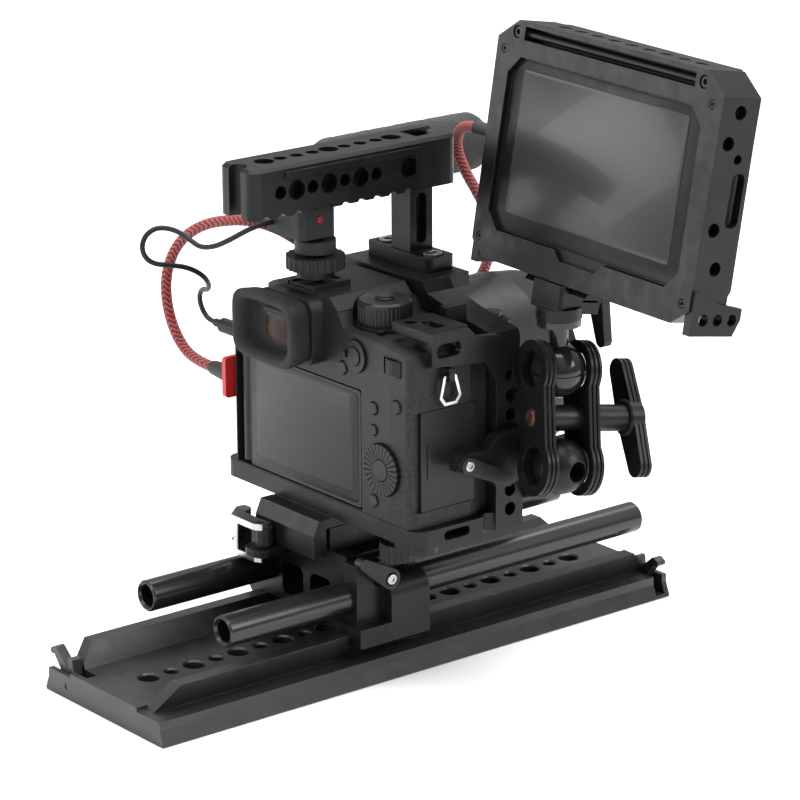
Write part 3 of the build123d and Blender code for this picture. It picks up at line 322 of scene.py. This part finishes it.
LOOKS = {
    "plate": ["dovetail_plate", "rear_stop", "front_stop"],
    "rod": ["near_rod", "far_rod"],
    "anodised": ["bridge_base", "dovetail_jaw", "qr_clamp", "qr_jaw", "qr_plate", "cage", "handle_post",
                 "handle_bar", "side_clamp", "monitor_cage", "monitor_mount", "arm_plates", "wing_nut",
                 "thumb_knob"],
    "lever": ["clamp_lever", "side_clamp_lever", "mount_lever", "qr_cam", "arm_bolt"],
    "chrome": ["qr_cam_lever", "strap_ring"],
    "steel": ["cage_screws"],
    "ball": ["ball_head"],
    "shell": ["camera_body"],
    "controls": ["sd_door", "lcd_panel", "power_lever", "af_lever", "thumb_wheel", "set_button",
                 "af_button", "shutter_button", "disp_button", "cursor_button", "fn_button", "menu_button",
                 "lock_button"],
    "dial": ["mode_dial", "drive_dial"],
    "lens": ["lens_barrel", "lens_front"],
    "rubber": ["battery", "eyecup"],
    "wheel": ["control_wheel"],
    "grip_ring": ["zoom_ring"],
    "hood": ["lens_hood"],
    "plastic": ["mic_body", "mic_lock_ring", "mic_plug", "monitor_body"],
    "camera_plug": ["camera_plug"],
    "monitor_plug": ["monitor_plug"],
}
for look, names in LOOKS.items():
    for name in names:
        mesh = NODES[name].data
        mesh.materials.clear()
        mesh.materials.append(MATERIALS[look])


# ---------------------------------------------------------------- making pieces
def add_piece(name, points, faces, look, body, smooth=True):
    """Mesh from points in millimetres, riding on a body and taking its finish from a slot."""
    mesh = bpy.data.meshes.new(name)
    mesh.from_pydata([Vector(point) * MM for point in points], [], faces)
    mesh.validate()
    if smooth:
        mesh.shade_smooth()
        mesh.set_sharp_from_angle(angle=radians(35))
    mesh.materials.append(MATERIALS[look])
    piece = bpy.data.objects.new(name, mesh)
    bpy.context.scene.collection.objects.link(piece)
    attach(piece, body)
    return piece


def loft(name, rings, look, body, place=Matrix.Identity(4)):
    """Closed skin over rings that have the same number of points, with a flat cap at each end."""
    count = len(rings[0])
    points = [place @ Vector(point) for ring in rings for point in ring]
    faces = [tuple(reversed(range(count)))]
    for level in range(len(rings) - 1):
        for index in range(count):
            after = (index + 1) % count
            low, high = level * count, (level + 1) * count
            faces.append((low + index, low + after, high + after, high + index))
    faces.append(tuple(range((len(rings) - 1) * count, len(rings) * count)))
    return add_piece(name, points, faces, look, body)


def circle(radius, height, count=32, sides=0):
    """Ring of points about +Z; with sides given, a polygon of that size sampled as finely."""
    ring = []
    for index in range(count):
        angle = 2 * pi * index / count
        reach = radius
        if sides:
            step = 2 * pi / sides
            reach = radius * cos(step / 2) / cos(angle % step - step / 2)
        ring.append((reach * cos(angle), reach * sin(angle), height))
    return ring


def facing(start, along):
    """Matrix that puts +Z along a direction at a point, in millimetres."""
    turn = Vector(along).to_track_quat("Z", "Y").to_matrix().to_4x4()
    return Matrix.Translation(Vector(start)) @ turn


def turned_piece(name, profile, start, along, look, body, count=48):
    """Round piece from (radius, height) pairs, its first ring at start."""
    rings = [circle(max(radius, 0.02), height, count) for radius, height in profile]
    return loft(name, rings, look, body, facing(start, along))


def socket_screw(name, start, along, radius, height, body, look="steel"):
    """Cap screw's head with a hexagonal socket."""
    key = 0.55 * radius
    rings = [circle(radius, 0, 24), circle(radius, height - 0.3, 24), circle(radius - 0.3, height, 24),
             circle(key, height, 24, 6), circle(key, 0.35 * height, 24, 6), circle(0.05, 0.3 * height, 24)]
    return loft(name, rings, look, body, facing(start, along))


def superellipse(middle, width, height, depth, power=4.0, count=64):
    """Ring facing +Y: a soft rectangle about middle (X, Z), at Y depth."""
    ring = []
    for index in range(count):
        angle = -2 * pi * index / count
        across, up = cos(angle), sin(angle)
        reach_x = abs(across) ** (2 / power) * (1 if across > 0 else -1)
        reach_z = abs(up) ** (2 / power) * (1 if up > 0 else -1)
        ring.append((middle[0] + width / 2 * reach_x, depth, middle[1] + height / 2 * reach_z))
    return ring


def pane(name, middle, width, height, y0, y1, look, body, place=Matrix.Identity(4), power=24.0,
         lip=0.15):
    """Thin plate facing +Y with a narrow rounded border."""
    rings = [superellipse(middle, width, height, y0, power),
             superellipse(middle, width, height, y1 - lip, power),
             superellipse(middle, width - 0.6 * lip, height - 0.6 * lip, y1 - 0.3 * lip, power),
             superellipse(middle, width - 2 * lip, height - 2 * lip, y1, power)]
    return loft(name, rings, look, body, place)


MM_MONITOR = Matrix.Scale(1 / MM, 4) @ MONITOR @ Matrix.Scale(MM, 4)

# ---------------------------------------------------------------- camera
lens = bpy.data.cameras.new("view")
lens.sensor_width = 36.0
lens.lens = FOCAL_LENGTH
lens.clip_end = 50.0
eye = bpy.data.objects.new("view", lens)
bpy.context.scene.collection.objects.link(eye)
azimuth, elevation = radians(CAMERA_AZIMUTH), radians(CAMERA_ELEVATION)
back = Vector((sin(azimuth) * cos(elevation), -cos(azimuth) * cos(elevation), sin(elevation)))
right = Vector((cos(azimuth), sin(azimuth), 0.0))
facing_matrix = Matrix((right, back.cross(right), back)).transposed().to_4x4()
eye.matrix_world = (Matrix.Translation(CAMERA_PLACE) @ facing_matrix
                    @ Matrix.Rotation(radians(CAMERA_ROLL), 4, "Z"))
bpy.context.scene.camera = eye
bpy.context.scene.view_settings.view_transform = "Standard"


# ---------------------------------------------------------------- cables
def cord(name, route, diameter, look, replaced):
    """Cable along its route: a smooth spline with the route's points as control points."""
    curve = bpy.data.curves.new(name, "CURVE")
    curve.dimensions = "3D"
    curve.bevel_depth = diameter * MM / 2
    curve.bevel_resolution = 6
    curve.resolution_u = 10
    curve.use_fill_caps = True
    spline = curve.splines.new("NURBS")
    spline.points.add(len(route) - 1)
    for point, place in zip(spline.points, route):
        point.co = (*(Vector(place) * MM), 1.0)
    spline.order_u = 3
    spline.use_endpoint_u = True
    curve.materials.append(MATERIALS[look])
    piece = bpy.data.objects.new(name, curve)
    bpy.context.scene.collection.objects.link(piece)
    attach(piece, "carriage")
    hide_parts(replaced)
    return piece


cord("video_cable", HDMI_ROUTE, HDMI_DIAMETER, "braid", "hdmi_cable")
cord("sound_cable", MIC_ROUTE, MIC_WIRE_DIAMETER, "wire", "mic_cable")

# ---------------------------------------------------------------- floor and light
FLOOR_HALF = 6.0
floor_mesh = bpy.data.meshes.new("floor")
floor_corners = [(x * FLOOR_HALF, y * FLOOR_HALF, 0.0) for x, y in ((-1, -1), (1, -1), (1, 1), (-1, 1))]
floor_mesh.from_pydata(floor_corners, [], [(0, 1, 2, 3)])
floor_material, floor_tree, floor_shader, floor_place = start_material("pale_floor")
pale = blend_colours(floor_tree, noise_of(floor_tree, floor_place, 3.0), (0.86, 0.86, 0.86),
                     (0.90, 0.90, 0.90))
floor_tree.links.new(pale, floor_shader.inputs["Base Color"])
floor_shader.inputs["Roughness"].default_value = 0.85
floor_mesh.materials.append(floor_material)
floor = bpy.data.objects.new("floor", floor_mesh)
bpy.context.scene.collection.objects.link(floor)

world = bpy.data.worlds.new("studio")
world.use_nodes = True
bpy.context.scene.world = world
sky = world.node_tree
upward = node(sky, "SeparateXYZ", {"Vector": node(sky, "TexCoord").outputs["Generated"]}).outputs["Z"]
background = sky.nodes["Background"]
sky.links.new(blend_colours(sky, span(sky, upward, 0.0, 0.8), (0.24, 0.24, 0.25), (1.0, 1.0, 1.0)),
              background.inputs["Color"])
background.inputs["Strength"].default_value = 1.0


def softbox(name, place, aim, width, height, power):
    light = bpy.data.lights.new(name, "AREA")
    light.shape = "RECTANGLE"
    light.size, light.size_y = width, height
    light.energy = power
    lamp = bpy.data.objects.new(name, light)
    lamp.location = place
    lamp.rotation_euler = (Vector(aim) - Vector(place)).to_track_quat("-Z", "Y").to_euler()
    bpy.context.scene.collection.objects.link(lamp)


OBJECT_MIDDLE = (-0.03, -0.01, 0.13)
softbox("key", (-1.5, -0.6, 1.3), OBJECT_MIDDLE, 0.9, 1.2, 26)
softbox("fill", (0.2, 1.9, 1.1), OBJECT_MIDDLE, 1.0, 1.0, 14)
softbox("overhead", (0.2, -0.2, 1.9), OBJECT_MIDDLE, 2.2, 2.2, 62)
softbox("side", (1.6, 1.25, 0.35), OBJECT_MIDDLE, 1.0, 0.8, 9)

# ---------------------------------------------------------------- windshield
def windshield():
    """Foam sleeve: a rounded cylinder along Y with a rough open surface."""
    rows, count = 150, 112
    length = FOAM_REAR - FOAM_FRONT
    ends = 14
    profile = []
    for index in range(ends + 1):
        angle = pi / 2 * index / ends
        profile.append((FOAM_R - FOAM_ROUND + FOAM_ROUND * sin(angle), FOAM_ROUND * (1 - cos(angle))))
    straight = [(FOAM_R, FOAM_ROUND + (length - 2 * FOAM_ROUND) * i / rows) for i in range(1, rows)]
    profile += straight + [(radius, length - rise) for radius, rise in reversed(profile)]
    rings = []
    for radius, rise in profile:
        ring = []
        for index in range(count):
            angle = 2 * pi * index / count
            spot = Vector((radius * cos(angle), rise, radius * sin(angle)))
            rough = noise.noise(spot * 0.9) * 0.22 + noise.noise(spot * 0.16) * 0.25
            out = max(radius - 0.35 + rough, 0.1)
            ring.append((FOAM_X + out * cos(angle), FOAM_FRONT + rise, FOAM_Z + out * sin(angle)))
        rings.append(list(reversed(ring)))
    piece = loft("foam_windshield", rings, "foam", "carriage")
    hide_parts("windshield")


windshield()

# ---------------------------------------------------------------- eyepiece
EYE = (5.5, 164.6)
eye_rings = [superellipse(EYE, width, height, depth, power) for width, height, depth, power in (
    (38.0, 27.0, 44.4, 5), (43.5, 30.0, 44.6, 5), (45.2, 31.2, 47.0, 5), (46.0, 31.8, 50.0, 5),
    (46.9, 32.5, 53.0, 5), (46.8, 32.4, 54.6, 5), (45.8, 31.5, 55.6, 5), (43.8, 29.6, 56.0, 5),
    (40.5, 26.8, 55.9, 5), (37.4, 24.6, 55.0, 5), (34.6, 22.8, 53.0, 5), (32.6, 21.4, 50.4, 5),
    (31.0, 20.2, 48.4, 5), (29.6, 19.2, 47.9, 6))]
loft("eyecup_skin", eye_rings, "rubber", "carriage")
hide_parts("eyecup")
pane("eyepiece_frame", (3.0, 164.6), 24.0, 16.5, 47.6, 48.6, "plastic", "carriage",
     power=8.0)
pane("eyepiece_glass", (3.0, 164.6), 17.5, 12.5, 48.2, 48.9, "eye_glass", "carriage",
     power=8.0)

# ---------------------------------------------------------------- camera's screen and marks
pane("lcd_border", (0.1, 114.1), 81.0, 52.8, 35.6, 35.95, "border", "lcd", power=40.0)
pane("lcd_glass", (0.6, 115.6), 73.0, 46.8, 35.8, 36.05, "lcd_screen", "lcd", power=60.0)
turned_piece("dial_ring", [(4.7, 0), (4.7, 0.7), (4.4, 1.0), (4.0, 1.0), (3.8, 0.7), (3.8, 0.0)],
             (*DIAL, DIAL_TOP - 0.1), (0, 0, 1), "dial", "mode_dial")
turned_piece("index_dot", [(0.9, 0), (0.9, 0.12), (0.7, 0.2)], (-21.6, 30.0, 168.9), (0, 0, 1),
             "white", "carriage", 24)
turned_piece("record_button", [(1.6, 0), (1.6, 0.5), (1.2, 0.8), (0.3, 0.9)],
             (-8.0, 32.0, 214.7), (-1, 0, 0), "red", "carriage", 32)

# ---------------------------------------------------------------- lens glass
FRONT_GLASS = [(23.5, 0), (23.5, 0.6), (20.0, 1.7), (15.0, 2.8), (10.0, 3.6), (5.0, 4.1), (0.5, 4.2)]
NAME_RING = [(30.4, 0), (30.4, 1.0), (28.0, 1.4), (25.0, 0.9), (24.6, 0.5), (23.8, 0.5), (23.8, 0.0)]
turned_piece("front_glass", FRONT_GLASS, (0, -88.0, LENS_Z), (0, -1, 0), "lens_glass", "lens_front",
             96)
turned_piece("lens_name_ring", NAME_RING, (0, -88.1, LENS_Z), (0, -1, 0), "lens", "lens_front",
             96)

# ---------------------------------------------------------------- monitor
pane("monitor_border", (1.5, 0.0), 134.0, 78.0, -2.5, -2.15, "border", "monitor",
     MM_MONITOR, 26.0)
pane("monitor_glass", (1.5, 2.0), 117.0, 65.8, -2.3, -1.9, "screen", "monitor",
     MM_MONITOR, 60.0)
for index, (across, up) in enumerate(((74.5, 42.0), (-71.8, 42.3), (-71.8, -44.3), (73.5, -44.9))):
    start = MM_MONITOR @ Vector((across, -1.6, up))
    socket_screw(f"bezel_screw_{index}", start, MONITOR.to_3x3() @ Vector((0, 1, 0)), 1.9, 1.5, "monitor",
                 "lever")

for index, across in enumerate((-64.6, 66.6)):
    start = MM_MONITOR @ Vector((across, -2.6, 50.8))
    socket_screw(f"corner_screw_{index}", start, MONITOR.to_3x3() @ Vector((0, 1, 0)), 2.7, 2.0, "monitor",
                 "lever")

# ---------------------------------------------------------------- small metal parts
ARM_AXIS = Vector((-0.18, -0.97, -0.15)).normalized()
ARM_MIDDLE = Vector((-103.5, -30.2, 131.2))
BOLT_HEAD_FACE = 15.6       # from the arm's middle, against the axis
turned_piece("arm_pin", [(3.6, 0), (3.6, 0.3), (3.0, 0.5), (0.5, 0.5)],
             ARM_MIDDLE - BOLT_HEAD_FACE * ARM_AXIS, -ARM_AXIS, "brass", "arm", 32)
socket_screw("clamp_lever_screw", (-46.9, 22.4, 50.0), (-1, 0, 0), 2.6, 0.9, "clamp_lever")
socket_screw("side_lever_screw", (-92.5, 13.5, 114.5), (-1, 0, 0), 2.4, 0.9, "side_clamp_lever")
